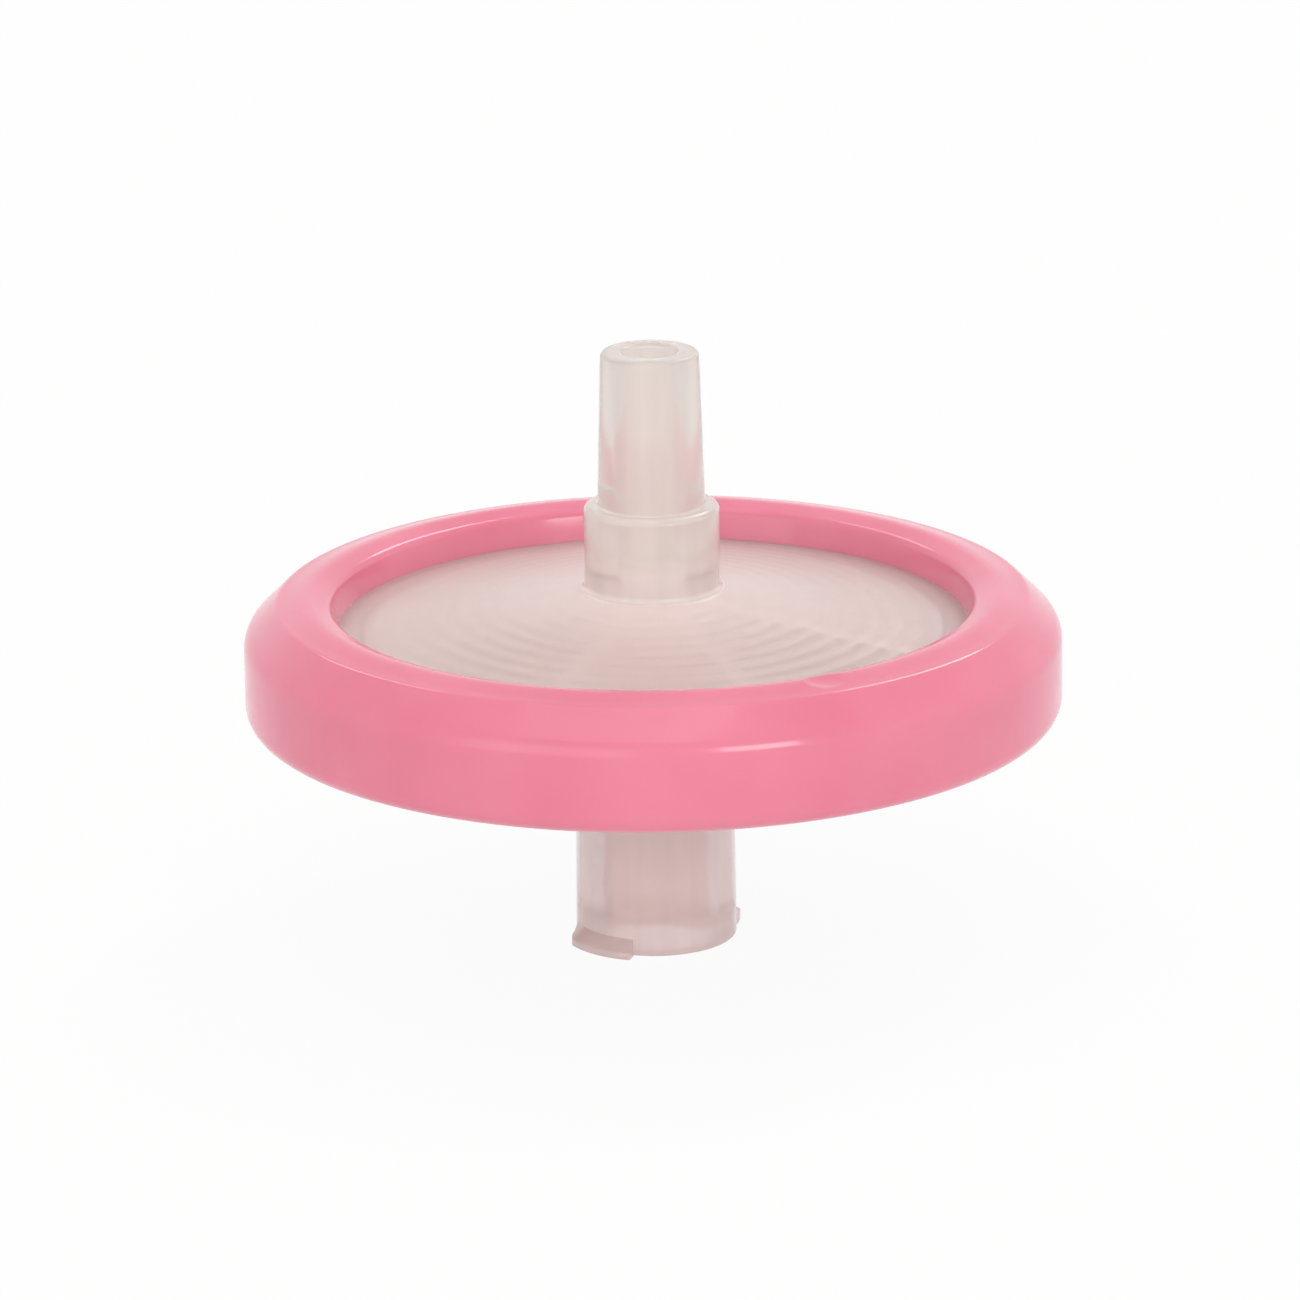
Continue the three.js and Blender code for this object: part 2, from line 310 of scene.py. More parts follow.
def round_corner(piece, radius, height, rounding):
    """Bevels the one corner of the outline at that radius and height."""
    bpy.ops.mesh.select_all(action="DESELECT")
    bpy.ops.mesh.select_mode(type="VERT")
    sheet = bmesh.from_edit_mesh(piece.data)
    corner = Vector((radius * MM, 0, height * MM))
    nearest = min(sheet.verts, key=lambda v: (v.co - corner).length)
    nearest.select_set(True)
    bmesh.update_edit_mesh(piece.data)
    bpy.ops.mesh.bevel(
        offset=rounding * MM, segments=CORNER_STEPS, affect="VERTICES", profile=0.5
    )


def spin_outline(piece):
    """Turns the outline into a closed body of revolution and leaves edit mode."""
    bpy.ops.mesh.select_all(action="SELECT")
    bpy.ops.mesh.spin(
        steps=TURNS, angle=2 * math.pi, center=(0, 0, 0), axis=(0, 0, 1)
    )
    bpy.ops.mesh.select_all(action="SELECT")
    bpy.ops.mesh.remove_doubles(threshold=MERGE_GAP)
    bpy.ops.mesh.normals_make_consistent(inside=False)
    bpy.ops.object.mode_set(mode="OBJECT")
    return piece


def join_with(piece, other, operation="UNION"):
    """Adds another closed body to the piece, or cuts it away, and deletes it."""
    leave_all()
    boolean = piece.modifiers.new("boolean", "BOOLEAN")
    boolean.operation = operation
    boolean.solver = "MANIFOLD"
    boolean.object = other
    bpy.context.view_layer.objects.active = piece
    piece.select_set(True)
    bpy.ops.object.modifier_apply(modifier=boolean.name)
    bpy.data.objects.remove(other)


def turned_copy(piece, degrees):
    """A copy with its own mesh, turned round the axis, counter-clockwise seen from above."""
    leave_all()
    bpy.context.view_layer.objects.active = piece
    piece.select_set(True)
    bpy.ops.object.duplicate(linked=False)
    bpy.ops.object.mode_set(mode="EDIT")
    bpy.ops.mesh.select_all(action="SELECT")
    bpy.ops.transform.rotate(
        value=-math.radians(degrees), orient_axis="Z", center_override=(0, 0, 0)
    )
    bpy.ops.object.mode_set(mode="OBJECT")
    return bpy.context.object


def report(piece):
    """Prints the size of a piece and whether its skin is closed."""
    check = bmesh.new()
    check.from_mesh(piece.data)
    open_edges = sum(1 for edge in check.edges if not edge.is_manifold)
    volume = check.calc_volume(signed=True) / MM ** 3
    triangles = sum(len(face.verts) - 2 for face in check.faces)
    check.free()
    print(f"{piece.name}: {triangles} triangles, {open_edges} open edges, {volume:.1f} mm3")


def smooth(piece, degrees=SHARP_ANGLE):
    """Shades the piece smooth, apart from its sharp edges."""
    leave_all()
    bpy.context.view_layer.objects.active = piece
    piece.select_set(True)
    bpy.ops.object.shade_smooth_by_angle(angle=math.radians(degrees))


print("a turned piece has", TURNS, "flats round it and", CORNER_STEPS, "on a rounded corner")

# %% [markdown]
# ## Pink sealing ring
#
# The ring is moulded over the rims of both halves after the membrane is in. Its outside has a
# rounded foot, an upright wall, a sloped shoulder and a slightly crowned crest, and its inside
# grips the two clear flanges. The crest is bowed by placing its points on a shallow curve. Hot pink
# plastic melts onto the clear rims, so the groove is sunk into them by a hair. Without a gap of air
# the pink then shows through the clear rims, as it does on the real filter.

# %% Ring outline
RING_WALL_TOP = RING_BOTTOM + 3.56
RING_CREST_RADIUS = 15.15
RING_CREST_EDGE = RING_TOP - 0.25
RING_INNER_CREST = RING_LIP_RADIUS + 0.25
RING_GRIP = 0.02        # the ring is melted this far into the clear flanges
GROOVE_RADIUS = FLANGE_RADIUS - RING_GRIP
CREST_PEAK = 1 / 3      # share of the crest's width, from the lip, at which it is highest
CREST_STEPS = 8


def crest_rise(share):
    """Rise of the crest, 0 at its edges and 1 at its peak: soon from the lip, then a gentle fall."""
    if share <= CREST_PEAK:
        return math.sin(math.pi / 2 * share / CREST_PEAK)
    return share / CREST_PEAK * ((1 - share) / (1 - CREST_PEAK)) ** 2


def crest_points():
    """Points of the crest between its two edges."""
    points = []
    for i in range(1, CREST_STEPS):
        share = i / CREST_STEPS
        radius = RING_INNER_CREST + share * (RING_CREST_RADIUS - RING_INNER_CREST)
        height = RING_CREST_EDGE + crest_rise(share) * (RING_TOP - RING_CREST_EDGE)
        points.append((radius, height, 0))
    return points


ring_corners = [
    (WINDOW_RADIUS, OUTLET_RIM - RING_GRIP, 0),
    (RING_LIP_RADIUS, RING_CREST_EDGE, 0.24),
    *crest_points(),
    (RING_CREST_RADIUS, RING_CREST_EDGE, 0.10),
    (RING_RADIUS, RING_WALL_TOP, 0.42),
    (RING_RADIUS, RING_BOTTOM, 0.82),
    (RING_LIP_RADIUS, RING_BOTTOM, 0.45),
    (WINDOW_RADIUS, INLET_RIM + RING_GRIP, 0),
    (GROOVE_RADIUS, INLET_RIM + RING_GRIP, 0),
    (GROOVE_RADIUS, OUTLET_RIM - RING_GRIP, 0),
]
ring = spin_outline(draw_outline("sealing_ring", ring_corners))
smooth(ring)
report(ring)

# %% [markdown]
# ## Outlet half
#
# The upper half is a shallow clear cone with a collar and a male Luer slip cone. Both Luer tapers
# are six per cent on the diameter. A fine bore runs down to the space over the membrane, where ten
# concentric ribs hold the membrane up and eight radial channels let the liquid drain between them.

# %% Outlet sizes
CONE_RISE = 1.58        # of the clear disc, from the ring to the collar
COLLAR_RADIUS = 2.73
COLLAR_HEIGHT = 3.5
SLIP_TIP_RADIUS = 1.985
LUER_TAPER = 0.03       # change of radius for each millimetre of length
BORE_MOUTH = 1.08
BORE_DRAFT = 0.02
PLENUM_DEPTH = 0.45     # of the space on each side of the membrane, at its edge
OUTLET_ROOF_SLOPE = 0.10
CONE_ROOT = OUTLET_RIM + CONE_RISE
SHOULDER = CONE_ROOT + COLLAR_HEIGHT
SLIP_LENGTH = TIP_HEIGHT - SHOULDER


def roof(radius):
    """Height of the roof over the membrane."""
    return OUTLET_FACE + PLENUM_DEPTH + OUTLET_ROOF_SLOPE * (LAND_RADIUS - radius)


def bore(height):
    """Radius of the bore, which narrows away from its mouth."""
    return BORE_MOUTH - BORE_DRAFT * (TIP_HEIGHT - height)


print("outlet levels, mm:", [round(z, 2) for z in (OUTLET_RIM, CONE_ROOT, SHOULDER, TIP_HEIGHT)])

# %% Outlet body
bore_foot = roof(BORE_MOUTH)
outlet_corners = [
    (bore(bore_foot), bore_foot, 0.15),
    (bore(TIP_HEIGHT), TIP_HEIGHT, 0.16),
    (SLIP_TIP_RADIUS, TIP_HEIGHT, 0.20),
    (SLIP_TIP_RADIUS + LUER_TAPER * SLIP_LENGTH, SHOULDER, 0.10),
    (COLLAR_RADIUS, SHOULDER, 0.28),
    (COLLAR_RADIUS, CONE_ROOT, 0.30),
    (WINDOW_RADIUS, OUTLET_RIM, 0),
    (FLANGE_RADIUS, OUTLET_RIM, 0.2),
    (FLANGE_RADIUS, OUTLET_FACE, 0),
    (LAND_RADIUS, OUTLET_FACE, 0.05),
    (LAND_RADIUS, roof(LAND_RADIUS), 0.10),
]
outlet = spin_outline(draw_outline("outlet_half", outlet_corners))
report(outlet)

# %% Support ribs and drain channels
RIB_PITCH = 0.9
RIB_WIDTH = 0.36
FIRST_RIB = 2.9
RIB_COUNT = 10
RIB_REACH = 0.25        # each rib runs this far into the plastic that carries it
DRAIN_COUNT = 8
DRAIN_WIDTH = 0.8
DRAIN_BAR_HEIGHT = 6    # tall enough to cut right through the ribs


def support_rib(number):
    """One rib, with softly rounded feet just over the membrane."""
    inner = FIRST_RIB + RIB_PITCH * number - RIB_WIDTH / 2
    outer = inner + RIB_WIDTH
    top = roof(outer) + RIB_REACH
    corners = [
        (inner, OUTLET_FACE, 0.07),
        (inner, top, 0),
        (outer, top, 0),
        (outer, OUTLET_FACE, 0.07),
    ]
    return spin_outline(draw_outline("support_rib", corners))


def drain_cutter():
    """Four long bars that cross at the axis, one closed body."""
    leave_all()
    bpy.ops.mesh.primitive_cube_add(size=MM, location=(0, 0, OUTLET_FACE * MM))
    bar = bpy.context.object
    bpy.ops.object.mode_set(mode="EDIT")
    bpy.ops.mesh.select_all(action="SELECT")
    bpy.ops.transform.resize(value=(2 * FLANGE_RADIUS, DRAIN_WIDTH, DRAIN_BAR_HEIGHT))
    bpy.ops.object.mode_set(mode="OBJECT")
    bpy.ops.object.transform_apply(location=True, rotation=True, scale=True)
    turns = [180 * (2 * i + 1) / DRAIN_COUNT for i in range(DRAIN_COUNT // 2)]
    bars, *others = [turned_copy(bar, turn) for turn in turns]
    for other in others:
        join_with(bars, other)
    bpy.data.objects.remove(bar)
    return bars


leave_all()
ribs = [support_rib(i) for i in range(RIB_COUNT)]
leave_all()
for rib in ribs:
    rib.select_set(True)
bpy.context.view_layer.objects.active = ribs[0]
bpy.ops.object.join()
ribs = bpy.context.object
join_with(ribs, drain_cutter(), "DIFFERENCE")
join_with(outlet, ribs)
smooth(outlet)
report(outlet)

# %% [markdown]
# ## Gate mark
#
# The pink melt runs into its mould through a gate on the crest. It sits in a shallow dish, so that
# the stub left behind never stands proud. The dish lies where the crest falls towards the shoulder.
# A large ball is let into the plastic there and cut away, which leaves a crisp round edge. The dish
# is about 1.1 mm across and nowhere deeper than 0.13 mm.

# %% Gate mark
DISH_BALL = 2.9         # radius of the ball
BALL_SEGMENTS, BALL_RINGS = 128, 96
DISH_FLOOR = RING_TOP - 0.2
DISH_RADIUS = 14.6      # of the ball's centre from the axis
DISH_TURN = 28          # degrees right of the front


def dish_cutter():
    """The ball, let into the crest."""
    turn = math.radians(DISH_TURN)
    leave_all()
    bpy.ops.mesh.primitive_uv_sphere_add(
        segments=BALL_SEGMENTS, ring_count=BALL_RINGS, radius=DISH_BALL * MM,
        location=(
            DISH_RADIUS * math.sin(turn) * MM,
            -DISH_RADIUS * math.cos(turn) * MM,
            (DISH_FLOOR + DISH_BALL) * MM,
        ),
    )
    bpy.ops.object.transform_apply(location=True, rotation=True, scale=True)
    return bpy.context.object


join_with(ring, dish_cutter(), "DIFFERENCE")
smooth(ring)
report(ring)

# %% [markdown]
# ## Inlet half
#
# The lower half mirrors the upper one, but carries a female Luer lock: a tapered socket with two
# lugs round its end that the thread of a syringe catches. Each lug is a short band with a sloping
# flank. It rises out of the wall as a ramp and has one square end. A small section is spun through
# part of a turn, and the points of its first stretch are drawn in towards the wall. Eight radial
# ribs inside keep the membrane off the floor. One lug and one rib are modelled, and copies of them
# are turned into place.

# %% Inlet sizes
INLET_DROP = 1.5        # of the lower cone, from the ring to the lock
LOCK_RADIUS = 3.27
LOCK_DRAFT = 0.008
SOCKET_MOUTH = 2.14
SOCKET_DEPTH = 8
PASSAGE = 1.0
INLET_FLOOR_SLOPE = 0.12
POCKET_FLOOR = MEMBRANE_BOTTOM - CLEARANCE
POCKET_RADIUS = MEMBRANE_RADIUS + CLEARANCE
INLET_ROOT = INLET_RIM - INLET_DROP


def floor_level(radius):
    """Height of the floor under the membrane."""
    return POCKET_FLOOR - PLENUM_DEPTH - INLET_FLOOR_SLOPE * (LAND_RADIUS - radius)


def lock_wall(height):
    """Outer radius of the lock, which narrows a little upwards."""
    return LOCK_RADIUS - LOCK_DRAFT * height


print("inlet levels, mm:", [round(z, 2) for z in (SOCKET_DEPTH, INLET_ROOT, INLET_RIM, INLET_FACE)])

# %% Inlet body
inlet_corners = [
    (SOCKET_MOUTH, 0, 0.14),
    (SOCKET_MOUTH - LUER_TAPER * SOCKET_DEPTH, SOCKET_DEPTH, 0.12),
    (PASSAGE, SOCKET_DEPTH, 0.10),
    (PASSAGE, floor_level(PASSAGE), 0.15),
    (LAND_RADIUS, floor_level(LAND_RADIUS), 0.10),
    (LAND_RADIUS, POCKET_FLOOR, 0.05),
    (POCKET_RADIUS, POCKET_FLOOR, 0),
    (POCKET_RADIUS, INLET_FACE, 0),
    (FLANGE_RADIUS, INLET_FACE, 0),
    (FLANGE_RADIUS, INLET_RIM, 0.2),
    (WINDOW_RADIUS, INLET_RIM, 0),
    (lock_wall(INLET_ROOT), INLET_ROOT, 0.30),
    (LOCK_RADIUS, 0, 0.12),
]
inlet = spin_outline(draw_outline("inlet_half", inlet_corners))
report(inlet)

# %% Lugs and spacer ribs
LUG_RADIUS = 3.9
LUG_ROOT_HEIGHT = 0.7   # where it leaves the wall
LUG_CREST_HEIGHT = 0.3  # at its outer edge
LUG_START = 188         # degrees from +X, counter-clockwise seen from above
LUG_SWEEP = 65
LUG_RAMP = 20           # degrees over which it rises to its full radius
LUG_SINK = 0.05         # the ramp starts this far inside the wall
LUG_STEPS = 26
LUG_COUNT = 2
SPACER_COUNT = 8
SPACER_WIDTH = 0.5
SPACER_INNER = 2.6      # the ribs stop short of the passage


def lug():
    """A lug that starts on the X axis, rises out of the wall and ends square."""
    root = (SOCKET_MOUTH + LOCK_RADIUS) / 2
    corners = [
        (root, 0, 0),
        (LUG_RADIUS, 0, 0.10),
        (LUG_RADIUS, LUG_CREST_HEIGHT, 0.10),
        (LOCK_RADIUS, LUG_ROOT_HEIGHT, 0),
        (root, LUG_ROOT_HEIGHT, 0),
    ]
    piece = draw_outline("lug", corners)
    bpy.ops.mesh.select_all(action="SELECT")
    bpy.ops.mesh.edge_face_add()
    bpy.ops.mesh.spin(
        steps=LUG_STEPS, angle=-math.radians(LUG_SWEEP), center=(0, 0, 0), axis=(0, 0, 1)
    )
    bpy.ops.mesh.select_all(action="SELECT")
    bpy.ops.mesh.remove_doubles(threshold=MERGE_GAP)
    draw_in_ramp(piece)
    bpy.ops.mesh.select_all(action="SELECT")
    bpy.ops.mesh.normals_make_consistent(inside=False)
    bpy.ops.object.mode_set(mode="OBJECT")
    return piece


def draw_in_ramp(piece):
    """Draws the first stretch of the lug in towards the wall."""
    foot = LOCK_RADIUS - LUG_SINK
    sheet = bmesh.from_edit_mesh(piece.data)
    for vert in sheet.verts:
        turned = math.degrees(math.atan2(vert.co.y, vert.co.x))
        reach = foot + (LUG_RADIUS - foot) * min(turned / LUG_RAMP, 1)
        radius = math.hypot(vert.co.x, vert.co.y) / MM
        if radius > reach:
            vert.co.x *= reach / radius
            vert.co.y *= reach / radius
    bmesh.update_edit_mesh(piece.data)


def spacer_rib():
    """A radial rib along X that stands on the sloping floor."""
    outer = LAND_RADIUS + RIB_REACH
    section = [
        (SPACER_INNER, floor_level(SPACER_INNER) - RIB_REACH, 0),
        (outer, floor_level(outer) - RIB_REACH, 0),
        (outer, POCKET_FLOOR, 0),
        (SPACER_INNER, POCKET_FLOOR, 0.2),
    ]
    piece = draw_outline("spacer", section)
    bpy.ops.mesh.select_all(action="SELECT")
    bpy.ops.mesh.edge_face_add()
    bpy.ops.transform.translate(value=(0, -SPACER_WIDTH / 2 * MM, 0))
    bpy.ops.mesh.extrude_region_move(
        TRANSFORM_OT_translate={"value": (0, SPACER_WIDTH * MM, 0)}
    )
    bpy.ops.mesh.select_all(action="SELECT")
    bpy.ops.mesh.normals_make_consistent(inside=False)
    bpy.ops.object.mode_set(mode="OBJECT")
    return piece


for first, start, count in ((lug(), LUG_START, LUG_COUNT), (spacer_rib(), 0, SPACER_COUNT)):
    for i in range(count):
        join_with(inlet, turned_copy(first, start + 360 * i / count))
    bpy.data.objects.remove(first)
smooth(inlet)
report(inlet)

# %% [markdown]
# ## Membrane
#
# The membrane is a thin white sheet full of pores far too small to see. It starts as a disc, which
# is inset into rings so that it can sink a hair between the ribs. A Solidify modifier then gives it
# its lower face and its rim.

# %% Membrane
MEMBRANE_SIDES = 128
MEMBRANE_RINGS = 48
MEMBRANE_WAVE = 0.012   # it sinks by twice this between two ribs
MEMBRANE_SHARP = 50     # degrees, so that its ripples stay smooth


def make_membrane():
    """A thin disc that ripples slightly where the ribs press on it."""
    leave_all()
    bpy.ops.mesh.primitive_circle_add(
        vertices=MEMBRANE_SIDES, radius=MEMBRANE_RADIUS * MM, fill_type="NGON",
        location=(0, 0, MEMBRANE_TOP * MM),
    )
    piece = bpy.context.object
    piece.name = "filter_membrane"
    bpy.ops.object.transform_apply(location=True, rotation=True, scale=True)
    bpy.ops.object.mode_set(mode="EDIT")
    bpy.ops.mesh.select_all(action="SELECT")
    for i in range(MEMBRANE_RINGS - 1):
        bpy.ops.mesh.inset(thickness=MEMBRANE_RADIUS * MM / MEMBRANE_RINGS)
    bpy.ops.mesh.poke()
    bpy.ops.mesh.select_all(action="SELECT")
    bpy.ops.mesh.normals_make_consistent(inside=False)
    sheet = bmesh.from_edit_mesh(piece.data)
    for vert in sheet.verts:
        radius = math.hypot(vert.co.x, vert.co.y) / MM
        if radius < LAND_RADIUS:
            phase = 2 * math.pi * (radius - FIRST_RIB) / RIB_PITCH
            vert.co.z -= MEMBRANE_WAVE * MM * (1 - math.cos(phase))
    bmesh.update_edit_mesh(piece.data)
    bpy.ops.object.mode_set(mode="OBJECT")
    thicken = piece.modifiers.new("thicken", "SOLIDIFY")
    thicken.thickness = (MEMBRANE_TOP - MEMBRANE_BOTTOM) * MM - 2 * MEMBRANE_WAVE * MM
    thicken.offset = -1
    bpy.ops.object.modifier_apply(modifier="thicken")
    return piece


membrane = make_membrane()
smooth(membrane, MEMBRANE_SHARP)
report(membrane)

# %% [markdown]
# ## Finishes
#
# Clear polypropylene is never as clear as glass. It has a warm, milky cast, and its skin carries
# the fine grain of the mould. The pink ring is a glossy, softer plastic that light enters a little,
# and the membrane is dull white paper to the eye. Each finish is built from noise at the size that
# the real one shows.

# %% Shared node helpers
PLASTIC_IOR = 1.49


def new_finish(name):
    """A material with one Principled shader, and what the nodes need to be reached."""
    material = bpy.data.materials.new(name)
    material.use_nodes = True
    nodes = material.node_tree.nodes
    nodes.clear()
    shader = nodes.new("ShaderNodeBsdfPrincipled")
    output = nodes.new("ShaderNodeOutputMaterial")
    material.node_tree.links.new(shader.outputs[0], output.inputs["Surface"])
    return material, nodes, material.node_tree.links, shader, output


def dress(piece, finish):
    """Gives the piece its one finish. A boolean can leave an empty slot, so that goes first."""
    piece.data.materials.clear()
    piece.data.materials.append(finish)


def grain(nodes, links, size, detail=3, roughness=0.5, stretch=(1, 1, 1)):
    """Noise on object coordinates whose features are about size millimetres across."""
    place = nodes.new("ShaderNodeTexCoord")
    mapping = nodes.new("ShaderNodeMapping")
    mapping.inputs["Scale"].default_value = stretch
    noise = nodes.new("ShaderNodeTexNoise")
    noise.inputs["Scale"].default_value = 1 / (size * MM)
    noise.inputs["Detail"].default_value = detail
    noise.inputs["Roughness"].default_value = roughness
    links.new(place.outputs["Object"], mapping.inputs["Vector"])
    links.new(mapping.outputs[0], noise.inputs["Vector"])
    return noise.outputs["Fac"]


def spread(nodes, links, value, low, high, start=0.3, end=0.7):
    """Maps a value to a range. Noise seldom leaves 0.3 to 0.7, so that is where it starts and ends."""
    ranges = nodes.new("ShaderNodeMapRange")
    ranges.inputs["From Min"].default_value = start
    ranges.inputs["From Max"].default_value = end
    ranges.inputs["To Min"].default_value = low
    ranges.inputs["To Max"].default_value = high
    links.new(value, ranges.inputs["Value"])
    return ranges.outputs["Result"]


def shades(nodes, links, value, first, second):
    """Blends between two colours by noise."""
    mix = nodes.new("ShaderNodeMix")
    mix.data_type = "RGBA"
    mix.inputs["A"].default_value = (*first, 1)
    mix.inputs["B"].default_value = (*second, 1)
    links.new(value, mix.inputs["Factor"])
    return mix.outputs["Result"]


def relief(nodes, links, value, height, under=None):
    """Bump of that height in millimetres, which can lie on another."""
    bump = nodes.new("ShaderNodeBump")
    bump.inputs["Distance"].default_value = height * MM
    bump.inputs["Strength"].default_value = 1
    links.new(value, bump.inputs["Height"])
    if under is not None:
        links.new(under, bump.inputs["Normal"])
    return bump.outputs["Normal"]


def band(nodes, links, low, high, fade=0.15):
    """1 between two heights in millimetres and 0 beyond them, with a short fade at each."""
    place = nodes.new("ShaderNodeTexCoord")
    parts = nodes.new("ShaderNodeSeparateXYZ")
    links.new(place.outputs["Object"], parts.inputs[0])
    ramps = []
    for start, end in ((low - fade, low), (high + fade, high)):
        ramp = nodes.new("ShaderNodeMapRange")
        ramp.interpolation_type = "SMOOTHSTEP"
        ramp.inputs["From Min"].default_value = start * MM
        ramp.inputs["From Max"].default_value = end * MM
        links.new(parts.outputs["Z"], ramp.inputs["Value"])
        ramps.append(ramp.outputs["Result"])
    return math_node(nodes, links, "MULTIPLY", *ramps)


def blend(nodes, links, share, first, second, kind="FLOAT"):
    """Blends between two numbers, or between two colours where the kind is RGBA."""
    mix = nodes.new("ShaderNodeMix")
    mix.data_type = kind
    links.new(share, mix.inputs["Factor"])
    links.new(first, mix.inputs["A"])
    links.new(second, mix.inputs["B"])
    return mix.outputs["Result"]


print("refractive index of the pink and the clear plastic:", PLASTIC_IOR)

# %% Pink ring finish
PINK_DEEP = (0.80, 0.212, 0.314)
PINK_PALE = (0.85, 0.246, 0.354)
PINK_GLOSS = (0.11, 0.18)       # roughness, from its smoothest to its dullest spot
PINK_GLOW = 0.25                # share of the light that goes in and comes out again
PINK_GLOW_REACH = (1.0, 0.35, 0.45)
PINK_GLOW_DEPTH = 1.2           # millimetres, as are the next four
PINK_CLOUD = 5
PINK_GRAIN = 0.5
PINK_SKIN = 1.2
PINK_RELIEF = 0.004


def pink_finish():
    """Glossy pink with a slight cloud in its colour and a skin that is never quite flat."""
    material, nodes, links, shader, _ = new_finish("ring_pink_soft")
    cloud = spread(nodes, links, grain(nodes, links, PINK_CLOUD, detail=2), 0, 1)
    links.new(shades(nodes, links, cloud, PINK_DEEP, PINK_PALE), shader.inputs["Base Color"])
    fine = grain(nodes, links, PINK_GRAIN, detail=4)
    links.new(spread(nodes, links, fine, *PINK_GLOSS), shader.inputs["Roughness"])
    skin = relief(nodes, links, grain(nodes, links, PINK_SKIN, detail=4), PINK_RELIEF)
    links.new(skin, shader.inputs["Normal"])
    shader.inputs["IOR"].default_value = PLASTIC_IOR
    shader.inputs["Subsurface Weight"].default_value = PINK_GLOW
    shader.inputs["Subsurface Radius"].default_value = PINK_GLOW_REACH
    shader.inputs["Subsurface Scale"].default_value = PINK_GLOW_DEPTH * MM
    return material


dress(ring, pink_finish())
print("ring finish:", ring.data.materials[0].name)

# %% Clear finish
TIP_TINT = (0.912, 0.862, 0.828)
# Painted light: the inlet's tint is lighter than the tip's, to make up for the shade that the ring
# casts on the lock.
SHADE_LIFTED_LOCK_TINT = (0.985, 0.855, 0.835)
# Painted light: a pinker, darker colour for the disc near the ring. It stands for the ring's pink
# light reflected in the clear plastic and seen through it.
PAINTED_RING_LIGHT = (0.84, 0.705, 0.685)
STREAK_SHADE = 0.92     # brightness of the streaks, as a share of the tint's
PAINTED_RING_LIGHT_STREAK_SHADE = 0.975     # and as a share of the painted ring light's
POLISHED = (0.05, 0.09)     # roughness, lowest and highest
SATIN = (0.30, 0.34)
CLEAR_GRAIN = 0.35      # millimetres, as are the next four
CLEAR_SKIN = 0.9
CLEAR_RELIEF = 0.001
FLOW_WIDTH = 0.8
SINK_DEPTH = 0.008
OUTLET_HAZE = 0.45      # what the plastic lacks of full clarity
INLET_HAZE = 0.36
MILKY_HAZE = 0.72       # where a lug or a collar makes the plastic thick
MILKY_FADE = 1.0
COLLAR_FOOT = CONE_ROOT + 1.0   # top of the collar's thick foot
FLOW_STRETCH = 0.06     # scale along the axis, which draws the noise out into upright streaks
WAVE_UNIT = 20          # radians that a Wave texture runs through in a metre, at a scale of 1


def sink_marks(nodes, links):
    """Rings round the axis, one over each support rib, where the thicker plastic shrank more."""
    place = nodes.new("ShaderNodeTexCoord")
    wave = nodes.new("ShaderNodeTexWave")
    wave.wave_type = "RINGS"
    wave.rings_direction = "Z"
    wave.inputs["Scale"].default_value = 2 * math.pi / (WAVE_UNIT * RIB_PITCH * MM)
    wave.inputs["Phase Offset"].default_value = -2 * math.pi * FIRST_RIB / RIB_PITCH
    links.new(place.outputs["Object"], wave.inputs["Vector"])
    return wave.outputs["Fac"]


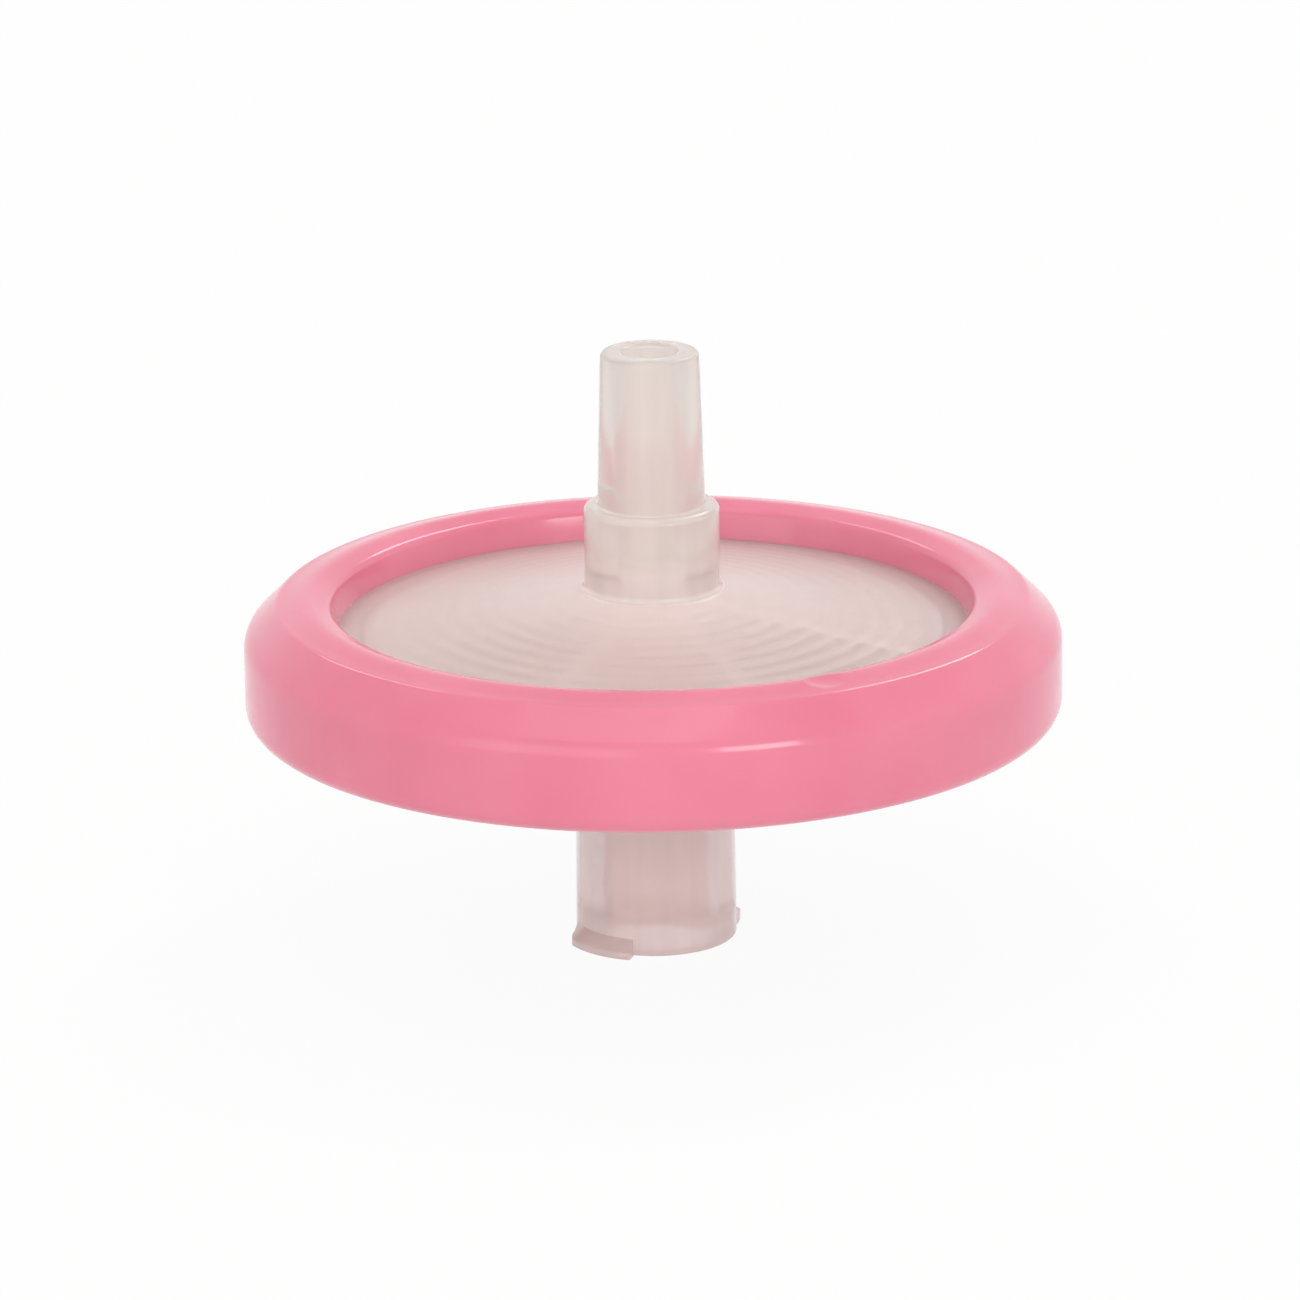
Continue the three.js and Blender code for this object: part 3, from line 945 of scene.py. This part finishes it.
def clear_finish(name, tint, haze, satin_and_painted_light_heights, milky_heights, ribbed=False):
    """
    Hazy clear plastic. Light for shadows goes straight through it, with its tint. Between the satin
    heights the mould was left rough, and there the colour is painted light: a pinker, darker colour
    that stands for the ring's pink light reflected in the plastic and seen through it. Between the
    milky heights it is thick, and so less clear. Ribs on its far side leave sink marks.
    """
    material, nodes, links, shader, output = new_finish(name)
    flow = grain(nodes, links, FLOW_WIDTH, detail=2, stretch=(1, 1, FLOW_STRETCH))
    cloud = spread(nodes, links, flow, 0, 1)
    near_ring = band(nodes, links, *satin_and_painted_light_heights)
    far_colour = shades(nodes, links, cloud, tint, tuple(c * STREAK_SHADE for c in tint))
    # Near the ring the colour is painted pink light from the ring, not the plastic's own.
    ring_light_colour = shades(nodes, links, cloud, PAINTED_RING_LIGHT, tuple(c * PAINTED_RING_LIGHT_STREAK_SHADE for c in PAINTED_RING_LIGHT))
    colour = blend(nodes, links, near_ring, far_colour, ring_light_colour, kind="RGBA")
    links.new(colour, shader.inputs["Base Color"])
    fine = grain(nodes, links, CLEAR_GRAIN, detail=4)
    polished = spread(nodes, links, fine, *POLISHED)
    satin = spread(nodes, links, fine, *SATIN)
    links.new(blend(nodes, links, near_ring, polished, satin), shader.inputs["Roughness"])
    skin = relief(nodes, links, grain(nodes, links, CLEAR_SKIN, detail=3), CLEAR_RELIEF)
    if ribbed:
        skin = relief(nodes, links, sink_marks(nodes, links), SINK_DEPTH, under=skin)
    links.new(skin, shader.inputs["Normal"])
    shader.inputs["IOR"].default_value = PLASTIC_IOR
    milky = band(nodes, links, *milky_heights, fade=MILKY_FADE)
    clarity = spread(nodes, links, milky, 1 - haze, 1 - MILKY_HAZE, start=0, end=1)
    links.new(clarity, shader.inputs["Transmission Weight"])
    shadow = nodes.new("ShaderNodeLightPath").outputs["Is Shadow Ray"]
    open_way = nodes.new("ShaderNodeBsdfTransparent")
    open_way.inputs["Color"].default_value = (*(math.sqrt(c) for c in tint), 1)
    seen = mix_shaders(nodes, links, shadow, shader.outputs[0], open_way.outputs[0])
    links.new(seen, output.inputs["Surface"])
    return material


dress(outlet, clear_finish(
    "outlet_clear_hazy", TIP_TINT, OUTLET_HAZE,
    (OUTLET_FACE, CONE_ROOT), (CONE_ROOT, COLLAR_FOOT), ribbed=True,
))
# The inlet's lighter tint is painted light against the ring's shade.
dress(inlet, clear_finish(
    "inlet_clear_hazy", SHADE_LIFTED_LOCK_TINT, INLET_HAZE,
    (INLET_ROOT, INLET_FACE), (0, LUG_ROOT_HEIGHT),
))
print("clear finishes:", [piece.data.materials[0].name for piece in (outlet, inlet)])

# %% Membrane finish
PAPER_DEEP = (0.86, 0.80, 0.76)
PAPER_PALE = (0.90, 0.85, 0.81)
PAPER_DULL = (0.82, 0.95)       # roughness
MOTTLE_SIZE = 1.5               # millimetres, as are the next two
PORE_SIZE = 0.06
PORE_RELIEF = 0.006


def membrane_finish():
    """Dull off-white with a faint mottle and pores that only the light feels."""
    material, nodes, links, shader, _ = new_finish("membrane_porous")
    mottle = grain(nodes, links, MOTTLE_SIZE, detail=5, roughness=0.6)
    colour = shades(nodes, links, spread(nodes, links, mottle, 0, 1), PAPER_DEEP, PAPER_PALE)
    links.new(colour, shader.inputs["Base Color"])
    pores = grain(nodes, links, PORE_SIZE, detail=5, roughness=0.7)
    links.new(spread(nodes, links, pores, *PAPER_DULL), shader.inputs["Roughness"])
    links.new(relief(nodes, links, pores, PORE_RELIEF), shader.inputs["Normal"])
    return material


dress(membrane, membrane_finish())
print("finishes:", [m.name for m in bpy.data.materials if m.users])

# %% [markdown]
# ## Each piece takes its place
#
# Nothing moves on this filter, so every piece rides on the one root body. Each piece stands for its
# solid node, which stays in the physics and isn't shown.

# %% Hand over to the frame
for piece, node, finish in (
    (ring, "overmould_ring", "ring_pink"),
    (outlet, "outlet_housing", "outlet_clear"),
    (inlet, "inlet_housing", "inlet_clear"),
    (membrane, "membrane", "membrane_white"),
):
    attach(piece, "root")
    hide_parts(node)

# %% Look settings
leave_all()
bpy.context.scene.view_settings.view_transform = "Standard"
